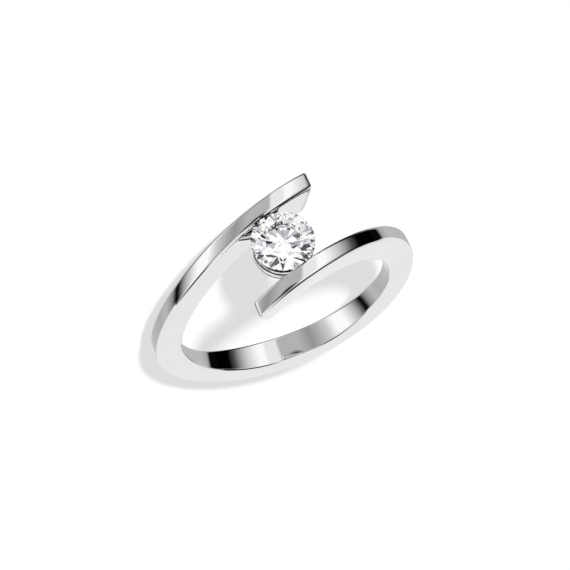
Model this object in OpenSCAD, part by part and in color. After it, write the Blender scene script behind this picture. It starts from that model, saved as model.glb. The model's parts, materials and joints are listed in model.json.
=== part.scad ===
// Tension set ring: a bypass band whose two arms grip a round brilliant by its edge.
// The ring is built upright: the finger runs along Y and the stone points along +Z.
// It is then laid on its side, as it rests on a table. Lengths are in millimetres.

/* [Finger hole] */
// Inside diameter of the band, a size 7
finger_d = 17.3; // [16:0.1:19]

/* [Band] */
// Thickness at the foot, opposite the stone
foot_t = 1.75; // [1.4:0.05:2.1]
// Thickness beside the stone
top_t = 2.7; // [2.5:0.05:3]
// Width at the foot, along the finger
foot_w = 2.25; // [1.8:0.05:2.8]
// Radius of the rounded outer edges
edge_r = 0.3; // [0.1:0.02:0.36]
// How far the lower half sways out of its plane, to one side and then the other
sway = 0.2; // [0:0.05:0.4]

/* [Arms] */
// Width of each arm, along the finger
arm_w = 1.45; // [1.3:0.05:1.6]
// Angle of the arms to the plane of the band, seen from above the stone
arm_angle = 16.5; // [16:0.25:17]
// Distance from the stone's axis at which the outside of an arm leaves the plane
outer_start = 10.85; // [10.7:0.05:11]
// The same for the side on the finger, which is nearer, so the arms lean apart
inner_start = 9.75; // [9.6:0.05:9.9]
// Length over which an arm eases out of the plane
ease_len = 0.6; // [0.3:0.1:1]
// Where the arms end, in degrees round from the foot
tip_angle = 201; // [197:1:204]
// Radius of the rounded inner corner of each tip
tip_r = 0.55; // [0.3:0.05:0.8]

/* [Stone] */
// Diameter of the stone, just under half a carat
stone_d = 4.96; // [4.88:0.02:5.04]
// Height of the middle of its edge above the finger's axis
stone_z = 11.05; // [10.9:0.05:11.1]
// Thickness of its edge
girdle_t = 0.12; // [0.1:0.01:0.16]
// Width of the flat table, as a share of the diameter
table_share = 0.57; // [0.53:0.01:0.62]
// Slope of the main facets above the edge
crown_angle = 34.5; // [32:0.5:36]
// Slope of the main facets below the edge
pavilion_angle = 40.2; // [39:0.1:40.4]
// How far the star facets reach from the table towards the edge
star_share = 0.52; // [0.45:0.01:0.6]
// How far the lower half facets reach from the edge towards the point
lower_share = 0.78; // [0.7:0.01:0.85]

/* [Seat] */
// Gap all round between the stone and the metal
stone_gap = 0.04; // [0.03:0.01:0.06]
// Outside diameter of the seat collar, which joins the arms under the stone
collar_d = 4.7; // [4.6:0.05:4.8]
// Outside diameter at its lower edge
collar_low_d = 4.6; // [4.5:0.05:4.6]
// Diameter of the hole through it, clear of the stone's point
collar_hole_d = 3.2; // [3.1:0.05:3.5]
// Height of its rim above the finger's axis
collar_top = 9.9; // [9.8:0.05:10]
// Height below which it narrows
collar_waist = 9.4; // [9.35:0.05:9.6]
// Height of its lower edge above the finger's axis
collar_low = 9.1; // [8.9:0.05:9.3]

/* [Rest] */
// Lean of the band, with the stone's side raised by the tip of the arm under it
rest_lean = 8.7; // [8:0.01:9.5]
// Lean across the band, along the line of the stone's axis
rest_roll = -5.89; // [-6.5:0.01:-5]

/* [Hidden] */
$fn = 96;

finger_r = finger_d / 2;
stone_r = stone_d / 2;
table_r = stone_r * table_share;
girdle_top = stone_z + girdle_t / 2;
girdle_low = stone_z - girdle_t / 2;
table_z = girdle_top + tan(crown_angle) * (stone_r - table_r);

// Angles at which the band has a cross-section, from one tip round the foot to the other
half_sections = 67;
band_angles = [for (i = [-half_sections:half_sections]) tip_angle * i / half_sections];
// How far the sections run into the finger hole, which cuts them
spare = 0.3;
// More than the arms reach out along the finger
arm_reach = 8;
// Power that keeps the extra width near the foot
foot_power = 4;
// Turn between the points that round an edge
edge_step = 18;
// Half the angle between two of the stone's eight main facets
half_facet = 22.5;

// Distance out of the plane of the band, for a point past the place where the arm starts
function eased(run) = (run + sqrt(run * run + ease_len * ease_len)) / 2;

// Sideways place of the band at an angle from the foot, on the circle of radius r
function aside(angle, r, start) =
    let (a = abs(angle), reach = a < 90 ? r * (2 - sin(a)) : r * sin(a))
    -sign(angle) * (tan(arm_angle) * eased(start - reach) + sway * sin(min(2 * a, 180)));

// Width of the band at an angle from the foot
function band_w(angle) =
    arm_w + (foot_w - arm_w) * pow((1 + cos(min(abs(angle), 180))) / 2, foot_power);

// Thickness of the band at an angle from the foot
function band_t(angle) = foot_t + (top_t - foot_t) * (1 - cos(angle)) / 2;

// One cross-section of the band, with its two outer corners rounded
function section(angle) =
    let (
        t = band_t(angle),
        half = band_w(angle) / 2,
        inner = aside(angle, finger_r, inner_start),
        lean = (aside(angle, finger_r + t, outer_start) - inner) / t,
        side = [
            [finger_r - spare, half],
            for (turn = [0:edge_step:90])
                [finger_r + t - edge_r * (1 - sin(turn)), half - edge_r * (1 - cos(turn))]
        ],
        last = len(side) - 1,
        outline = [each side, for (i = [last:-1:0]) [side[i].x, -side[i].y]]
    )
    [for (p = outline)
        [p.x * sin(angle), inner + lean * (p.x - finger_r) + p.y, -p.x * cos(angle)]];

// The band from tip to tip, before the finger hole is cut
module sweep() {
    count = len(band_angles) - 1;
    size = len(section(0));
    sides = [for (i = [0:count - 1], j = [0:size - 1])
        let (a = size * i + j, b = size * i + (j + 1) % size)
        each [[a, b + size, a + size], [a, b, b + size]]];
    ends = [[for (j = [size - 1:-1:0]) j], [for (j = [0:size - 1]) size * count + j]];
    polyhedron([for (angle = band_angles) each section(angle)], concat(sides, ends));
}

// The finger hole, as a bar
module finger_bar() {
    rotate([90, 0, 0]) cylinder(d = finger_d, h = 2 * arm_reach, center = true);
}

// What rounds off the inner corner of the near arm's tip
module tip_corner() {
    // Distance from the finger's axis to the round corner's centre, along the end face
    along = sqrt(pow(finger_r + tip_r, 2) - tip_r * tip_r);
    rotate([0, -tip_angle, 0]) rotate([90, 0, 0]) linear_extrude(arm_reach) difference() {
        translate([-tip_r, -along]) square([tip_r + spare, along - finger_r + spare]);
        translate([-tip_r, -along]) circle(tip_r);
    }
}

// The space that the stone and its gap take out of the arms
module stone_room() {
    r = stone_r + stone_gap;
    star_r = star_radius() + 2 * stone_gap;
    rotate_extrude() polygon([
        [0, girdle_low - r * tan(pavilion_angle) - stone_gap],
        [r, girdle_low - stone_gap],
        [r, girdle_top + stone_gap],
        [star_r, star_z() + 2 * stone_gap],
        [star_r, stone_z + stone_r],
        [0, stone_z + stone_r],
    ]);
}

// Points spaced evenly round the stone's axis
function ring_of(r, z, start, count) =
    [for (i = [0:count - 1]) let (a = start + i * 360 / count) [r * cos(a), r * sin(a), z]];

// Place of the outer points of the star facets
function star_radius() =
    let (table_flat = table_r * cos(half_facet))
    table_flat + star_share * (stone_r - table_flat);
function star_z() = girdle_top + tan(crown_angle) * (stone_r - star_radius() * cos(half_facet));

// The short tube under the stone, which holds the arms together
module collar() {
    difference() {
        union() {
            translate([0, 0, collar_low])
                cylinder(d1 = collar_low_d, d2 = collar_d, h = collar_waist - collar_low);
            translate([0, 0, collar_waist]) cylinder(d = collar_d, h = collar_top - collar_waist);
        }
        translate([0, 0, collar_low - spare])
            cylinder(d = collar_hole_d, h = collar_top - collar_low + 2 * spare);
    }
}

// The band, its arms and the collar are one piece of metal
module upright_band() {
    difference() {
        union() {
            sweep();
            collar();
        }
        finger_bar();
        for (turn = [0, 180]) rotate([0, 0, turn]) tip_corner();
        stone_room();
    }
}

// The round brilliant: a table, 8 stars, 8 kites, 16 halves above, 16 halves and 8 mains below
module upright_stone() {
    // The facets run on past the round edge, which a cylinder then cuts
    past = 0.07;
    out_r = stone_r + past;
    crown_low = girdle_top - past * tan(crown_angle);
    pavilion_top = girdle_low + past * tan(pavilion_angle);
    lower_r = stone_r * (1 - lower_share);
    lower_z = girdle_low - tan(pavilion_angle) * (stone_r - lower_r * cos(half_facet));
    point_z = girdle_low - tan(pavilion_angle) * stone_r;

    table = 0;
    star = 8;
    upper = 16;
    under = 32;
    lower = 48;
    point = 56;
    points = concat(
        ring_of(table_r, table_z, 0, 8),
        ring_of(star_radius(), star_z(), half_facet, 8),
        ring_of(out_r, crown_low, 0, 16),
        ring_of(out_r, pavilion_top, 0, 16),
        ring_of(lower_r, lower_z, half_facet, 8),
        [[0, 0, point_z]]
    );
    faces = concat(
        [[for (i = [7:-1:0]) table + i]],
        [for (i = [0:7]) let (n = (i + 1) % 8, p = (i + 7) % 8, g = 2 * i, h = (2 * i + 15) % 16)
            each [
                [table + i, table + n, star + i],
                [table + i, star + i, upper + g, star + p],
                [star + i, upper + g + 1, upper + g],
                [star + p, upper + g, upper + h],
                [lower + i, under + g, under + g + 1],
                [lower + p, under + h, under + g],
                [point, lower + p, under + g, lower + i],
            ]],
        [for (g = [0:15]) [upper + g, upper + (g + 1) % 16, under + (g + 1) % 16, under + g]]
    );
    intersection() {
        polyhedron(points, faces);
        translate([0, 0, stone_z - stone_r]) cylinder(r = stone_r, h = stone_d);
    }
}

// A point of the upright ring, turned as the ring lies on its side
function turned(p) =
    let (
        y = p.z * cos(rest_lean) + p.y * sin(rest_lean),
        z = p.z * sin(rest_lean) - p.y * cos(rest_lean)
    )
    [p.x * cos(rest_roll) + z * sin(rest_roll), y, z * cos(rest_roll) - p.x * sin(rest_roll)];

// The points that reach furthest, which give the box of the ring as it lies
far_points = [
    for (angle = band_angles) for (p = section(angle)) turned(p),
    for (p = ring_of(table_r, table_z, 0, 8)) turned(p)
];
function low_end(i) = min([for (p = far_points) p[i]]);
function middle(i) = (low_end(i) + max([for (p = far_points) p[i]])) / 2;

// Lays the ring on its side with the far arm undermost, its box centred on the origin
module at_rest() {
    translate([-middle(0), -middle(1), -low_end(2)])
        rotate([rest_lean, rest_roll, 0]) rotate([-90, 0, 0]) children();
}

module band() {
    color("gainsboro") at_rest() upright_band();
}

module stone() {
    color("aliceblue") at_rest() upright_stone();
}

band();
stone();
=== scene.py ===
import json
from math import atan2, cos, hypot, pi, radians, sin, sqrt, tan

import bmesh
import bpy
from mathutils import Matrix, Vector


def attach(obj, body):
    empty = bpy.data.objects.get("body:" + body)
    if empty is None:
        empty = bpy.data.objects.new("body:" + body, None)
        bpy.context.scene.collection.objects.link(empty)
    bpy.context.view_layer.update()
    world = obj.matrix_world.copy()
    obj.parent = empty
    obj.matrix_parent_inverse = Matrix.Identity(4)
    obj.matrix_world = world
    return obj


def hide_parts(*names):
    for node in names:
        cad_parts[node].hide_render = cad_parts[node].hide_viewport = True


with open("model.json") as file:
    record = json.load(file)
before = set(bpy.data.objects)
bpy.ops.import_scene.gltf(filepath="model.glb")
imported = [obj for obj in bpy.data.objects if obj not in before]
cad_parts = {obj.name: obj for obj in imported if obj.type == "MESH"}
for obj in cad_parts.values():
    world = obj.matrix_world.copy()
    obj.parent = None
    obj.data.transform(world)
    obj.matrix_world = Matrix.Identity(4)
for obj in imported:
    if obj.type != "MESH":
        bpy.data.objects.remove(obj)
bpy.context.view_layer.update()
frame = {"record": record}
print("packed ring loaded")

mm = 0.001
hairWidth = 0.001 * mm  # points closer than this are one point

# The ring is made upright, as in its source: finger along Y, stone towards +Z.
# layDown then turns it onto its side, round the middle of the finger hole.
restPose = {
    "lean": radians(8.70),
    "roll": radians(-5.89),
    "onSide": radians(-90),
}
fingerHole = next(m for m in frame["record"]["mounts"] if m["name"] == "finger_hole")
layDown = (
    Matrix.Translation(Vector(fingerHole["pos_m"]))
    @ Matrix.Rotation(restPose["roll"], 4, "Y")
    @ Matrix.Rotation(restPose["lean"], 4, "X")
    @ Matrix.Rotation(restPose["onSide"], 4, "X")
)
turnDown = layDown.to_3x3()


# Meshes are made in millimetres and stored in metres
def meshObject(name, points, faces):
    mesh = bpy.data.meshes.new(name)
    mesh.from_pydata([layDown @ (Vector(p) * mm) for p in points], [], faces)
    mesh.validate()
    mesh.update()
    made = bpy.data.objects.new(name, mesh)
    bpy.context.scene.collection.objects.link(made)
    return made


def applyModifier(target, kind, **settings):
    modifier = target.modifiers.new(kind.title(), kind)
    for name, value in settings.items():
        setattr(modifier, name, value)
    bpy.context.view_layer.objects.active = target
    with bpy.context.temp_override(object=target, active_object=target, selected_objects=[target]):
        bpy.ops.object.modifier_apply(modifier=modifier.name)


# Cutting leaves some doubled points and faces without area, which are cleared away
def combine(target, tool, operation):
    applyModifier(target, "BOOLEAN", operation=operation, object=tool, solver="EXACT")
    bpy.data.objects.remove(tool)
    mesh = bmesh.new()
    mesh.from_mesh(target.data)
    bmesh.ops.remove_doubles(mesh, verts=mesh.verts, dist=hairWidth)
    bmesh.ops.dissolve_degenerate(mesh, edges=mesh.edges, dist=hairWidth)
    mesh.to_mesh(target.data)
    mesh.free()


# Points spaced evenly round the stone's axis
def ringOf(radius, height, start, count):
    turns = [start + 2 * pi * i / count for i in range(count)]
    return [(radius * cos(turn), radius * sin(turn), height) for turn in turns]


# Turns an outline of (radius, height) pairs round the stone's axis: a closed one into a tube,
# or one that runs upwards into a solid with flat ends
def revolve(name, outline, sides, flatEnds=False):
    rings = [ringOf(radius, height, 0, sides) for radius, height in outline]
    count = len(rings)
    faces = []
    if flatEnds:
        faces += [tuple(range(sides))[::-1], tuple(range((count - 1) * sides, count * sides))]
    for k in range(count - 1 if flatEnds else count):
        here, above = k * sides, (k + 1) % count * sides
        for i in range(sides):
            j = (i + 1) % sides
            faces.append((here + i, here + j, above + j, above + i))
    return meshObject(name, [p for ring in rings for p in ring], faces)


# Stone: a round brilliant of just under half a carat, whose sizes the seat follows. Lengths are in mm.
brilliant = {
    "radius": 2.48,
    "edgeHeight": 11.05,  # middle of the girdle, above the finger's axis
    "girdle": 0.12,
    "tableShare": 0.57,
    "crownAngle": radians(34.5),
    "pavilionAngle": radians(40.2),
    "starShare": 0.52,  # how far the stars reach from the table towards the girdle
    "lowerShare": 0.78,  # how far the lower halves reach from the girdle towards the point
    "gap": 0.04,  # clearance between stone and metal
    "past": 0.07,  # how far the facets run on past the girdle, which then cuts them
    "girdleSides": 128,  # flats that stand for the round edge
    "roomSides": 160,  # and for the room that the stone takes out of the metal
}
stoneRadius = brilliant["radius"]
girdleTop = brilliant["edgeHeight"] + brilliant["girdle"] / 2
girdleLow = brilliant["edgeHeight"] - brilliant["girdle"] / 2
crownSlope = tan(brilliant["crownAngle"])
pavilionSlope = tan(brilliant["pavilionAngle"])
tableRadius = stoneRadius * brilliant["tableShare"]
halfFacet = pi / 8  # half the angle between two of the eight main facets
starRadius = tableRadius * cos(halfFacet)
starRadius += brilliant["starShare"] * (stoneRadius - starRadius)
starHeight = girdleTop + crownSlope * (stoneRadius - starRadius * cos(halfFacet))


def makeStone():
    past = brilliant["past"]
    outRadius = stoneRadius + past
    tableHeight = girdleTop + crownSlope * (stoneRadius - tableRadius)
    lowerRadius = stoneRadius * (1 - brilliant["lowerShare"])
    lowerHeight = girdleLow - pavilionSlope * (stoneRadius - lowerRadius * cos(halfFacet))
    points = ringOf(tableRadius, tableHeight, 0, 8)
    points += ringOf(starRadius, starHeight, halfFacet, 8)
    points += ringOf(outRadius, girdleTop - past * crownSlope, 0, 16)
    points += ringOf(outRadius, girdleLow + past * pavilionSlope, 0, 16)
    points += ringOf(lowerRadius, lowerHeight, halfFacet, 8)
    points.append((0, 0, girdleLow - pavilionSlope * stoneRadius))
    table, star, upper, under, lower, culet = 0, 8, 16, 32, 48, 56  # where each ring of points starts
    faces = [tuple(table + i for i in range(8))]
    for i in range(8):
        following, before = (i + 1) % 8, (i + 7) % 8
        mid, behind = 2 * i, (2 * i + 15) % 16
        faces += [
            (star + i, table + following, table + i),  # star
            (star + before, upper + mid, star + i, table + i),  # kite
            (upper + mid, upper + mid + 1, star + i),  # upper halves
            (upper + behind, upper + mid, star + before),
            (under + mid + 1, under + mid, lower + i),  # lower halves
            (under + mid, under + behind, lower + before),
            (lower + i, under + mid, lower + before, culet),  # pavilion main
        ]
    for g in range(16):
        h = (g + 1) % 16
        faces.append((under + g, under + h, upper + h, upper + g))
    stone = meshObject("round_brilliant", points, faces)
    girdle = revolve("girdle", [
        (stoneRadius, girdleLow - stoneRadius), (stoneRadius, girdleTop + stoneRadius),
    ], brilliant["girdleSides"], flatEnds=True)
    combine(stone, girdle, "INTERSECT")
    return stone


# Band: rounded bar from one tip round the foot to the other, in one sweep. Lengths are in mm.
bandShape = {
    "fingerRadius": 8.65,  # 17.3 mm across, size 7
    "footThickness": 1.75,
    "topThickness": 2.70,
    "footWidth": 2.25,
    "armWidth": 1.45,
    "footPower": 4,  # keeps the extra width near the foot
    "sway": 0.2,  # of the lower half, to one side and then the other
    "armSlope": tan(radians(16.5)),
    "outerStart": 10.85,  # distance from the stone's axis at which an arm's outside leaves the plane
    "innerStart": 9.75,
    "easeLength": 0.6,  # over which an arm bends out of the plane
    "tipAngle": radians(201),
    "tipRadius": 0.55,
    "tipSpare": 1.4,  # edge radii that the columns before the end face stay clear of it
    "edgeRadius": 0.3,
    "innerEdgeRadius": 0.2,
    "sectionStep": radians(1),
    "tipSteps": 9,
    "edgeSteps": 5,
    "sharpFrom": radians(28),  # only edges that turn more than this stay sharp
}


# Angles are measured round the finger from the foot, opposite the stone
def bandThickness(angle):
    extra = bandShape["topThickness"] - bandShape["footThickness"]
    return bandShape["footThickness"] + extra * (1 - cos(angle)) / 2


def bandWidth(angle):
    extra = bandShape["footWidth"] - bandShape["armWidth"]
    nearFoot = (1 + cos(min(abs(angle), pi))) / 2
    return bandShape["armWidth"] + extra * nearFoot ** bandShape["footPower"]


# How far the band stands out of its plane along the finger: the arms' slant and the foot's sway
def sideways(angle, radius, start):
    turn = abs(angle)
    reach = radius * (2 - sin(turn)) if turn < pi / 2 else radius * sin(turn)
    run = start - reach
    eased = (run + hypot(run, bandShape["easeLength"])) / 2
    away = bandShape["armSlope"] * eased + bandShape["sway"] * sin(min(2 * turn, pi))
    return -away if angle > 0 else away


# side is -1 on the near side wall and 1 on the far one
def bandPoint(angle, radius, side):
    inner = bandShape["fingerRadius"]
    thick = bandThickness(angle)
    innerY = sideways(angle, inner, bandShape["innerStart"])
    outerY = sideways(angle, inner + thick, bandShape["outerStart"])
    y = innerY + (outerY - innerY) * (radius - inner) / thick + side * bandWidth(angle) / 2
    return (radius * sin(angle), y, -radius * cos(angle))


# (inner angle, inner radius, outer angle) round the tip's inner corner, up to the end face.
# Only the last column lies close to the end face, so that its edges can be rounded too.
def tipColumns():
    corner = bandShape["tipRadius"]
    centreOut = bandShape["fingerRadius"] + corner
    along = sqrt(centreOut ** 2 - corner ** 2)
    start = atan2(corner, along)
    tip = bandShape["tipAngle"]
    clear = bandShape["tipSpare"] * bandShape["edgeRadius"]
    spare = clear / (bandShape["fingerRadius"] + bandThickness(tip))
    steps = bandShape["tipSteps"]
    columns = []
    for i in range(steps + 1):
        share = i / steps
        turn = start + (pi / 2 - start) * share
        out = along - corner * cos(turn)
        back = corner * (1 - sin(turn))
        outer = tip if i == steps else tip - spare - (start - spare) * (1 - share)
        columns.append((tip - atan2(back, out), hypot(out, back), outer))
    return columns


def makeBand():
    tip = tipColumns()
    reach = tip[0][0]
    count = round(2 * reach / bandShape["sectionStep"])
    middle = [reach * (2 * i / count - 1) for i in range(1, count)]
    columns = [(-a, r, -b) for a, r, b in reversed(tip)]
    columns += [(a, bandShape["fingerRadius"], a) for a in middle]
    columns += tip
    points = []
    for innerAngle, innerRadius, outerAngle in columns:
        outerRadius = bandShape["fingerRadius"] + bandThickness(outerAngle)
        points += [
            bandPoint(innerAngle, innerRadius, -1),
            bandPoint(innerAngle, innerRadius, 1),
            bandPoint(outerAngle, outerRadius, 1),
            bandPoint(outerAngle, outerRadius, -1),
        ]
    last = len(points) - 4
    faces = [(3, 2, 1, 0), (last, last + 1, last + 2, last + 3)]
    for base in range(0, last, 4):
        for i in range(4):
            j = (i + 1) % 4
            faces.append((base + i, base + j, base + 4 + j, base + 4 + i))
    band = meshObject("polished_band", points, faces)
    weighEdges(band.data)
    applyModifier(
        band, "BEVEL", width=bandShape["edgeRadius"] * mm, segments=bandShape["edgeSteps"],
        limit_method="WEIGHT", use_clamp_overlap=False, loop_slide=False,
    )
    return band


# Every fourth point starts a column: two on the finger's side, then two on the outside.
# The tip's edge on the finger's side has no weight, because the columns round it already.
def weighEdges(mesh):
    inner = bandShape["innerEdgeRadius"] / bandShape["edgeRadius"]
    last = len(mesh.vertices) // 4 - 1
    weights = mesh.attributes.new("bevel_weight_edge", "FLOAT", "EDGE")
    for edge in mesh.edges:
        (first, firstCorner), (second, secondCorner) = (divmod(v, 4) for v in edge.vertices)
        alongBand = firstCorner == secondCorner
        atTip = first == second and first in (0, last) and {firstCorner, secondCorner} != {0, 1}
        if alongBand or atTip:
            outside = firstCorner >= 2 and secondCorner >= 2
            weights.data[edge.index].value = 1.0 if outside else inner


# Collar: short tube that joins the arms under the stone, and narrows below its waist. In mm.
collarShape = {
    "radius": 2.35,
    "lowRadius": 2.3,
    "holeRadius": 1.6,
    "top": 9.9,
    "waist": 9.4,
    "low": 9.1,
    "edge": 0.11,  # radius of its rounded edges
    "edgeSteps": 5,
    "rimShadeRadius": 2.12,  # the rim is polished outside this radius and painted dark as shade inside it
    "footLine": 9.47,  # and below this height the collar's foot is painted dark as shade
    "sides": 128,
}


# A quarter round in place of a corner of the collar's outline
def roundCorner(radius, height, outward, upward):
    edge = collarShape["edge"]
    arc = []
    for i in range(collarShape["edgeSteps"] + 1):
        turn = pi / 2 * i / collarShape["edgeSteps"]
        arc.append((radius - outward * edge * (1 - cos(turn)), height - upward * edge * (1 - sin(turn))))
    return arc


def makeCollar():
    low, top = collarShape["low"], collarShape["top"]
    outer, hole = collarShape["radius"], collarShape["holeRadius"]
    outline = [(outer, collarShape["waist"]), (outer, collarShape["footLine"])]
    outline += roundCorner(outer, top, 1, 1) + [(collarShape["rimShadeRadius"], top)]
    outline += roundCorner(hole, top, -1, 1)[::-1]
    outline += roundCorner(hole, low, -1, -1) + roundCorner(collarShape["lowRadius"], low, 1, -1)[::-1]
    return revolve("collar", outline[::-1], collarShape["sides"])


# What the stone and its gap take out of the arms and the collar
def makeStoneRoom():
    gap = brilliant["gap"]
    edge = stoneRadius + gap
    crown = starRadius + 2 * gap
    start = collarShape["holeRadius"] / 2  # well inside the collar's hole, where nothing is cut
    outline = [
        (start, girdleLow - gap - (edge - start) * pavilionSlope),
        (edge, girdleLow - gap),
        (edge, girdleTop + gap),
        (crown, starHeight + 2 * gap),
        (crown, brilliant["edgeHeight"] + stoneRadius),
    ]
    return revolve("stone_room", outline, brilliant["roomSides"], flatEnds=True)


# Rounded edges shade smoothly into the flat faces beside them
def smoothMetal(target):
    mesh = bmesh.new()
    mesh.from_mesh(target.data)
    for face in mesh.faces:
        face.smooth = True
    for edge in mesh.edges:
        edge.smooth = len(edge.link_faces) == 2 and edge.calc_face_angle() < bandShape["sharpFrom"]
    mesh.to_mesh(target.data)
    mesh.free()
    applyModifier(target, "WEIGHTED_NORMAL", mode="FACE_AREA", keep_sharp=True)


band = makeBand()
combine(band, makeCollar(), "UNION")
combine(band, makeStoneRoom(), "DIFFERENCE")
smoothMetal(band)
print("band, arms and collar made,", len(band.data.polygons), "faces")
stone = makeStone()
print("stone cut,", len(stone.data.polygons), "facets")


# sRGB hex to the linear colour that a shader takes
def linearColour(hexCode):
    channels = [int(hexCode[i:i + 2], 16) / 255 for i in (0, 2, 4)]
    return [c / 12.92 if c <= 0.04045 else ((c + 0.055) / 1.055) ** 2.4 for c in channels] + [1.0]


# Adds a node. What goes into it is a fixed value, or another node's output that is linked to it.
def addNode(tree, kind, inputs=None, **settings):
    node = tree.nodes.new(kind)
    for name, value in settings.items():
        setattr(node, name, value)
    for name, value in (inputs or {}).items():
        if isinstance(value, bpy.types.NodeSocket):
            tree.links.new(value, node.inputs[name])
        else:
            node.inputs[name].default_value = value
    return node


def startMaterial(name, values):
    material = bpy.data.materials.new(name)
    material.use_nodes = True
    shader = material.node_tree.nodes["Principled BSDF"]
    for socket, value in values.items():
        shader.inputs[socket].default_value = value
    return material


# White gold: cast, filed and polished to a mirror, so the eye sees only what it reflects
whiteGoldFinish = {
    "metal": "F1F1F1",
    "wear": "E6E6E6",
    "roughness": 0.03,
    "wornRoughness": 0.05,
    "cloudSize": 3.0,  # mm, how far apart the polishing mop left its faint clouds
    "cloudDetail": 3.0,
    "clouds": (0.35, 0.7),  # where in the noise a cloud begins, and where it is full
}


def whiteGold():
    look = whiteGoldFinish
    material = startMaterial("mirror_polished_white_gold", {"Metallic": 1.0})
    tree = material.node_tree
    shader = tree.nodes["Principled BSDF"]
    clouds = addNode(tree, "ShaderNodeTexNoise", {
        "Vector": addNode(tree, "ShaderNodeTexCoord").outputs["Object"],
        "Scale": 1 / (look["cloudSize"] * mm),
        "Detail": look["cloudDetail"],
    }).outputs["Fac"]
    colour = addNode(tree, "ShaderNodeMix", {
        "Factor": clouds, "A": linearColour(look["metal"]), "B": linearColour(look["wear"]),
    }, data_type="RGBA")
    gloss = addNode(tree, "ShaderNodeMapRange", {
        "Value": clouds,
        "From Min": look["clouds"][0],
        "From Max": look["clouds"][1],
        "To Min": look["roughness"],
        "To Max": look["wornRoughness"],
    })
    tree.links.new(colour.outputs["Result"], shader.inputs["Base Color"])
    tree.links.new(gloss.outputs["Result"], shader.inputs["Roughness"])
    return material


# The same white gold as cast, dull with the mould's grain, and painted dark as the shade under and beside the
# stone
seatPaintedShade = {
    # painted shade: this dark grey stands for the shadow and dark reflections in the seat, not the metal's
    # own colour
    "metal": "3A3A3E",
    "roughness": 0.38,
    "grainSize": 0.08,  # mm, the skin that the mould leaves
    "grainDepth": 0.004,  # mm
    "grainDetail": 2.0,
    "rimLevel": 0.99,  # cosine of the tilt under which a face belongs to the collar's flat rim
    "faceOut": 0.8,  # cosine of the angle to straight outwards, from which a face isn't in the seat
}


def castGoldPaintedShade():
    look = seatPaintedShade
    material = startMaterial("as_cast_white_gold_painted_shade", {
        "Metallic": 1.0, "Base Color": linearColour(look["metal"]), "Roughness": look["roughness"],
    })
    tree = material.node_tree
    shader = tree.nodes["Principled BSDF"]
    grain = addNode(tree, "ShaderNodeTexNoise", {
        "Vector": addNode(tree, "ShaderNodeTexCoord").outputs["Object"],
        "Scale": 1 / (look["grainSize"] * mm),
        "Detail": look["grainDetail"],
    })
    bump = addNode(tree, "ShaderNodeBump", {
        "Height": grain.outputs["Fac"], "Distance": look["grainDepth"] * mm,
    })
    tree.links.new(bump.outputs["Normal"], shader.inputs["Normal"])
    return material


# Gives the cast finish with its painted shade to the faces under and beside the stone and round the collar's
# foot, where the shadow falls
def markPaintedShade(target):
    lift = layDown.inverted()
    turnUp = turnDown.inverted()
    for face in target.data.polygons:
        spot = lift @ face.center / mm
        normal = turnUp @ face.normal
        out = hypot(spot.x, spot.y)
        if out > stoneRadius + 2 * brilliant["gap"] or spot.z < collarShape["low"]:
            continue
        outward = (normal.x * spot.x + normal.y * spot.y) / out
        belowStone = spot.z < girdleLow
        onRim = belowStone and out > collarShape["rimShadeRadius"] and normal.z > seatPaintedShade["rimLevel"]
        inside = out < collarShape["radius"] or outward < 0
        # painted shade: faces in the stone's room, or facing in towards it, are painted dark as the shadow
        # beside the stone
        inPaintedShade = inside and outward < seatPaintedShade["faceOut"] and not onRim
        # painted shade: the collar below its foot line is painted dark as a shadow line
        onPaintedFootShade = spot.z < collarShape["footLine"] and out < collarShape["radius"] + brilliant["gap"]
        face.material_index = 1 if inPaintedShade or onPaintedFootShade else 0


# Diamond: the highest refraction of any clear gem, so it is all flashes and mirrors inside
diamondFinish = {
    "body": "FFFFFF",
    "surface": "B4B4B8",  # dims what its outside mirrors, as the dark cards over a real stone do
    "ior": 2.417,
    "roughness": 0.0,
}


def diamond():
    return startMaterial("brilliant_cut_diamond", {
        "Base Color": linearColour(diamondFinish["body"]),
        "Specular Tint": linearColour(diamondFinish["surface"]),
        "IOR": diamondFinish["ior"],
        "Roughness": diamondFinish["roughness"],
        "Transmission Weight": 1.0,
    })


for piece, node, slot, finishes in (
    (band, "band", "white_gold", (whiteGold(), castGoldPaintedShade())),
    (stone, "stone", "diamond", (diamond(),)),
):
    piece.data.materials.clear()
    for finish in finishes:
        piece.data.materials.append(finish)
    piece.visible_diffuse = False  # the room's light reaches the paper right up to the ring
    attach(piece, "root")
    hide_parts(node)
# paints shade on the seat beside the stone and on the collar's foot
markPaintedShade(band)
print("metal and stone finished")

# Floor: plain white paper, seen by the eye and through the stone but not mirrored in the metal
floorLook = {"halfSize": 1.5, "paper": "F6F6F6", "roughness": 0.9}


def makeFloor():
    half = floorLook["halfSize"]
    corners = [(-half, -half, 0), (half, -half, 0), (half, half, 0), (-half, half, 0)]
    mesh = bpy.data.meshes.new("floor")
    mesh.from_pydata(corners, [], [(0, 1, 2, 3)])
    mesh.materials.append(startMaterial("white_paper", {
        "Base Color": linearColour(floorLook["paper"]), "Roughness": floorLook["roughness"],
    }))
    floor = bpy.data.objects.new("floor", mesh)
    bpy.context.scene.collection.objects.link(floor)
    floor.visible_glossy = False
    return floor


floor = makeFloor()

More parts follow.
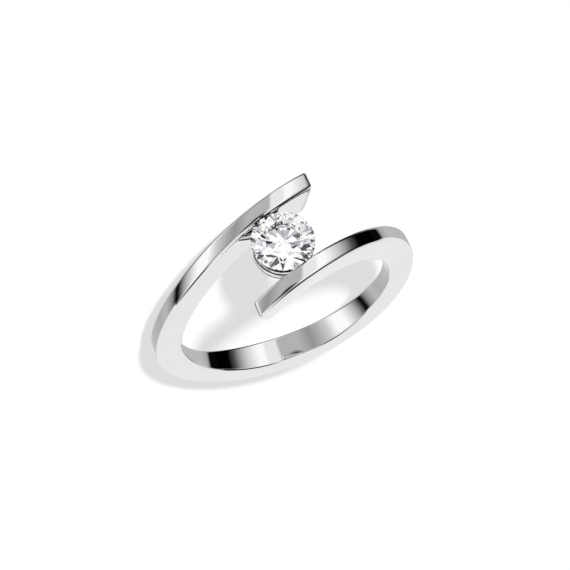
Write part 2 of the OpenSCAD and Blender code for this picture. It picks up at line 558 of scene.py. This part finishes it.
# Studio: soft boxes, cards and flags that stand round the ring. Each list gives the grey that the metal
# mirrors at an angle, in degrees about the finger's axis from the ring's +X towards the stone.
studio = {
    "cards": [  # beyond the ring, mirrored in its round faces
        (0, "000000"),  # black flag
        (18, "040404"),
        (25, "505050"),
        (40, "D0D0D0"),
        (54, "FFFFFF"),  # first soft box
        (60, "FFFFFF"),
        (63, "EBEBEB"),  # its white card
        (75, "EBEBEB"),
        (77, "B4B4B4"),  # grey card, with a sharp edge
        (98, "B8B8B8"),
        (112, "969696"),
        (122, "B2B2B2"),
        (132, "D0D0D0"),
        (142, "FFFFFF"),  # second soft box
        (154, "FFFFFF"),
        (168, "C0C0C0"),
        (179, "505050"),
        (182, "080808"),  # narrow black flag
        (186, "101010"),
        (192, "909090"),
        (204, "BCBCBC"),
        (218, "B0B0B0"),
        (255, "BEBEBE"),
        (270, "E0E0E0"),
        (284, "C0C0C0"),
        (300, "B4B4B4"),
        (336, "BCBCBC"),
        (346, "A8A8A8"),
        (350, "080808"),
    ],
    "flags": [  # nearer than the cards: dark cloth, which draws the lines along the rounded edges
        (0, "000000"),
        (45, "040404"),
        (60, "101010"),
        (74, "202020"),
        (90, "101010"),
        (150, "040404"),
        (172, "202020"),
        (180, "EAEAEA"),  # white sheet, mirrored in the side walls
        (345, "EAEAEA"),
        (352, "101010"),
    ],
    "sheets": [  # white sheets straight out from the finger hole, on the camera's side
        (0, "E4E4E4"),
        (180, "DEDEDE"),
        (240, "F6F6F6"),
        (300, "FFFFFF"),
        (345, "F0F0F0"),
    ],
    "flagEdge": (-0.97, -0.93),  # share of the way along the finger at which sheet gives way to flag
    "cardEdge": (0.12, 0.28),  # and flag to card
    "cardDrop": 0.72,  # how much further the cards above the ring reach towards the camera's side
    "dropEdge": (-0.05, 0.05),  # share of the way up, from below the ring to above it
    "spots": [  # round ones: where each stands in the ring's frame, its outer and inner half angle, its grey
        ((-0.05, -0.80, 0.59), 24, 14, "FFFFFF"),  # soft box above the camera
        ((0.00, 0.06, 1.00), 15, 11, "080808"),  # black flag right above the stone
        ((0.10, 0.93, -0.36), 28, 20, "060606"),  # dark curtain beyond the ring
        ((0.88, -0.43, -0.20), 20, 12, "DADADA"),  # white card at the right, for the side walls
    ],
    "strength": 1.14,  # makes up for the light that the metal takes
    "room": "E6E6E6",  # even light on the paper
}


# One ramp for each list of (degrees, tone) pairs, by the angle that rise and run give
def tonesRound(tree, rise, run, lists):
    angle = addNode(tree, "ShaderNodeMath", {0: rise, 1: run}, operation="ARCTAN2")
    turns = addNode(
        tree, "ShaderNodeMath", {0: angle.outputs[0], 1: 1 / (2 * pi), 2: 1.0}, operation="MULTIPLY_ADD",
    )
    share = addNode(tree, "ShaderNodeMath", {0: turns.outputs[0]}, operation="FRACT")
    nodes = []
    for tones in lists:
        node = addNode(tree, "ShaderNodeValToRGB", {"Fac": share.outputs[0]})
        stops = node.color_ramp.elements
        while len(stops) > 1:
            stops.remove(stops[-1])
        stops[0].position = tones[0][0] / 360
        stops[0].color = linearColour(tones[0][1])
        for degrees, tone in tones[1:]:
            stops.new(degrees / 360).color = linearColour(tone)
        nodes.append(node)
    return nodes


# Softly goes from one look to the next where a value passes an edge
def passEdge(tree, value, edge, before, after):
    share = addNode(
        tree, "ShaderNodeMapRange", {"Value": value, "From Min": edge[0], "From Max": edge[1]},
        interpolation_type="SMOOTHSTEP",
    )
    return addNode(
        tree, "ShaderNodeMix", {"Factor": share.outputs["Result"], "A": before, "B": after},
        data_type="RGBA",
    ).outputs["Result"]


# A round card or flag in front of what is there. Its half angles are out to its soft edge and within it.
def hangRound(tree, direction, towards, halfAngles, behind, tone):
    near = addNode(
        tree, "ShaderNodeVectorMath", {0: direction, 1: Vector(towards).normalized()},
        operation="DOT_PRODUCT",
    )
    edge = [cos(radians(angle)) for angle in halfAngles]
    return passEdge(tree, near.outputs["Value"], edge, behind, linearColour(tone))


def metalStudio(tree, direction):
    axes = addNode(tree, "ShaderNodeSeparateXYZ", {"Vector": direction}).outputs
    across, along, up = axes["X"], axes["Y"], axes["Z"]
    lists = [studio["cards"], studio["flags"], studio["sheets"]]
    cards, flags, sheets = (node.outputs["Color"] for node in tonesRound(tree, up, across, lists))
    low = passEdge(tree, along, studio["flagEdge"], sheets, flags)
    above = addNode(
        tree, "ShaderNodeMapRange",
        {"Value": up, "From Min": studio["dropEdge"][0], "From Max": studio["dropEdge"][1]},
        interpolation_type="SMOOTHSTEP",
    )
    raised = addNode(
        tree, "ShaderNodeMath", {0: above.outputs["Result"], 1: studio["cardDrop"], 2: along},
        operation="MULTIPLY_ADD",
    )
    around = passEdge(tree, raised.outputs[0], studio["cardEdge"], low, cards)
    for towards, outside, inside, tone in studio["spots"]:
        around = hangRound(tree, direction, towards, (outside, inside), around, tone)
    return around


# Tent: what the stone throws back, panels of white and pale grey with small dark flags between them
stoneTent = {
    "panels": [  # by the angle round the stone's axis, from the ring's +X
        (0, "F6F6F6"),
        (28, "D2D2D6"),
        (52, "FFFFFF"),
        (90, "DEDEE2"),
        (118, "FFFFFF"),
        (160, "CECED4"),
        (186, "FFFFFF"),
        (214, "E2E2E6"),
        (232, "FFFFFF"),
        (262, "D6D6DC"),
        (284, "FFFFFF"),
        (318, "E2E2E6"),
        (340, "FFFFFF"),
    ],
    "flags": [  # angle round the stone's axis, angle off it, half angle of the flag, and its grey
        (247, 25, 19, "AEAEB6"),  # the camera's own place, thrown back as grey arrows
        (212, 40, 14, "0C0C18"),
        (266, 42, 6, "0C0C18"),
        (312, 27, 5, "0C0C18"),
        (352, 12, 5, "0C0C18"),
        (255, 68, 7, "0C0C18"),
        (318, 62, 6, "0C0C18"),
        (20, 45, 8, "0C0C18"),
        (285, 57, 5, "7C94C8"),  # slips of blue and straw, for the stone's fire
        (225, 56, 4, "C8B478"),
    ],
    "softness": 1.0,  # degrees to each side of a flag's edge
    "strength": 1.07,
}


def stoneStudio(tree, direction):
    axes = addNode(tree, "ShaderNodeSeparateXYZ", {"Vector": direction}).outputs
    panels = tonesRound(tree, axes["Y"], axes["X"], [stoneTent["panels"]])[0]
    panels.color_ramp.interpolation = "CONSTANT"
    around = panels.outputs["Color"]
    soft = stoneTent["softness"]
    for turn, off, size, tone in stoneTent["flags"]:
        turn, off = radians(turn), radians(off)
        towards = (sin(off) * cos(turn), sin(off) * sin(turn), cos(off))
        around = hangRound(tree, direction, towards, (size + soft, size - soft), around, tone)
    return around


# The metal mirrors its studio, the stone throws back its tent, and the paper gets the room's even light
def studioWorld():
    world = bpy.data.worlds.new("studio")
    bpy.context.scene.world = world
    world.use_nodes = True
    world.cycles.sampling_method = "NONE"
    tree = world.node_tree
    tree.nodes.clear()
    rays = addNode(tree, "ShaderNodeLightPath").outputs
    direction = addNode(tree, "ShaderNodeMapping", {
        "Vector": addNode(tree, "ShaderNodeTexCoord").outputs["Generated"],
        "Rotation": turnDown.inverted().to_euler(),  # into the ring's own frame
    }, vector_type="VECTOR").outputs["Vector"]
    room = addNode(tree, "ShaderNodeBackground", {"Color": linearColour(studio["room"])})
    mirrored = addNode(
        tree, "ShaderNodeBackground", {"Color": metalStudio(tree, direction), "Strength": studio["strength"]},
    )
    refracted = addNode(
        tree, "ShaderNodeBackground",
        {"Color": stoneStudio(tree, direction), "Strength": stoneTent["strength"]},
    )
    # The depth is 0 until light has gone into the stone
    throughStone = addNode(
        tree, "ShaderNodeMath", {0: rays["Transmission Depth"], 1: 0.0}, operation="GREATER_THAN",
    )
    metal = addNode(
        tree, "ShaderNodeMixShader", {0: rays["Is Glossy Ray"], 1: room.outputs[0], 2: mirrored.outputs[0]},
    )
    whole = addNode(
        tree, "ShaderNodeMixShader",
        {0: throughStone.outputs[0], 1: metal.outputs[0], 2: refracted.outputs[0]},
    )
    addNode(tree, "ShaderNodeOutputWorld", {"Surface": whole.outputs[0]})


studioWorld()

keyLight = {
    "strength": 2.2,
    "softness": radians(5),
    "towards": (-0.122, -0.871, -0.476),  # from behind the stone, in the row's frame
}


def hangKeyLight():
    light = bpy.data.lights.new("key_light", "SUN")
    light.energy = keyLight["strength"]
    light.angle = keyLight["softness"]
    sun = bpy.data.objects.new("key_light", light)
    sun.rotation_euler = Vector(keyLight["towards"]).to_track_quat("-Z", "Y").to_euler()
    sun.visible_glossy = False
    bpy.context.scene.collection.objects.link(sun)


hangKeyLight()
print("floor and studio lit")

# Camera: the photograph's angle to the ring, in the upright ring's frame. Lengths are in mm.
cameraView = {
    "back": Vector((-0.168, -0.3947, 0.9033)),
    "up": Vector((0.3474, 0.8339, 0.429)),
    "distance": 333.3,
    "lens": 268.0,
    "sensor": 36.0,
    "nearest": 10.0,
    "aimRight": 0.19,  # how far the photograph's middle lies right of the finger hole's
    "aimUp": 1.40,
}


def placeCamera():
    back = (turnDown @ cameraView["back"]).normalized()
    right = (turnDown @ cameraView["up"]).cross(back).normalized()
    up = back.cross(right)
    lens = bpy.data.cameras.new("photo_camera")
    lens.lens = cameraView["lens"]
    lens.sensor_width = cameraView["sensor"]
    lens.clip_start = cameraView["nearest"] * mm
    camera = bpy.data.objects.new("photo_camera", lens)
    aim = right * cameraView["aimRight"] + up * cameraView["aimUp"]
    spot = Vector(fingerHole["pos_m"]) + (back * cameraView["distance"] + aim) * mm
    turned = Matrix((right, up, back)).transposed().to_4x4()
    camera.matrix_world = Matrix.Translation(spot) @ turned
    bpy.context.scene.collection.objects.link(camera)
    bpy.context.scene.camera = camera


placeCamera()
bpy.context.scene.view_settings.view_transform = "Standard"
lightTurns = 32  # light turns many times inside a cut stone before it comes out
for limit in ("max_bounces", "glossy_bounces", "transmission_bounces"):
    setattr(bpy.context.scene.cycles, limit, lightTurns)
print("camera placed")
